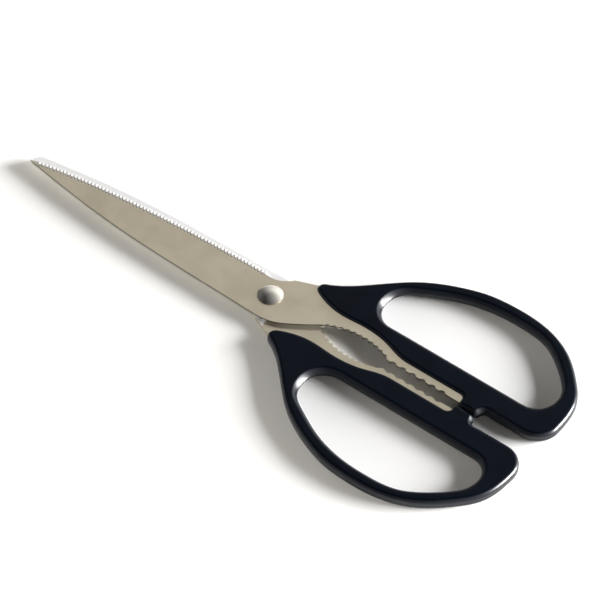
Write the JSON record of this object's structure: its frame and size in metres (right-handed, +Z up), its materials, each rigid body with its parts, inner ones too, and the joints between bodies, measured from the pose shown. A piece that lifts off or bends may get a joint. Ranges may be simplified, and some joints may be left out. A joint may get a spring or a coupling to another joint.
{
  "type": "kitchen shears",
  "caption": "Kitchen shears with long steel blades on a domed rivet, a micro-serrated edge, toothed oval and claw jaws between the tangs, and moulded black handles with closed finger loops.",
  "frame": {"origin": "centre of the closed shears' bounding box, on the surface that they lie on", "axes": "+X from the tips to the finger loops, +Y to the upper half's loop, +Z up from the surface to the rivet's head"},
  "size_m": [0.25, 0.1092, 0.0059],
  "materials": {
    "blade_steel": "satin ground stainless steel with a warm cast",
    "handle_plastic": "black moulded plastic with a soft gloss",
    "rivet_steel": "polished steel",
    "washer_steel": "plain bright steel"
  },
  "bodies": {
    "lower_half": {"lower_blade": "blade_steel", "lower_handle": "handle_plastic", "pivot_rivet": "rivet_steel", "pivot_washer": "washer_steel"},
    "upper_half": {"upper_blade": "blade_steel", "upper_handle": "handle_plastic"}
  },
  "joints": [
    {"name": "blade_pivot", "type": "hinge", "parent": "lower_half", "child": "upper_half", "pos_m": [-0.003, 0, 0.0025], "axis": [0, 0, 1], "range_deg": [0, 80]}
  ]
}
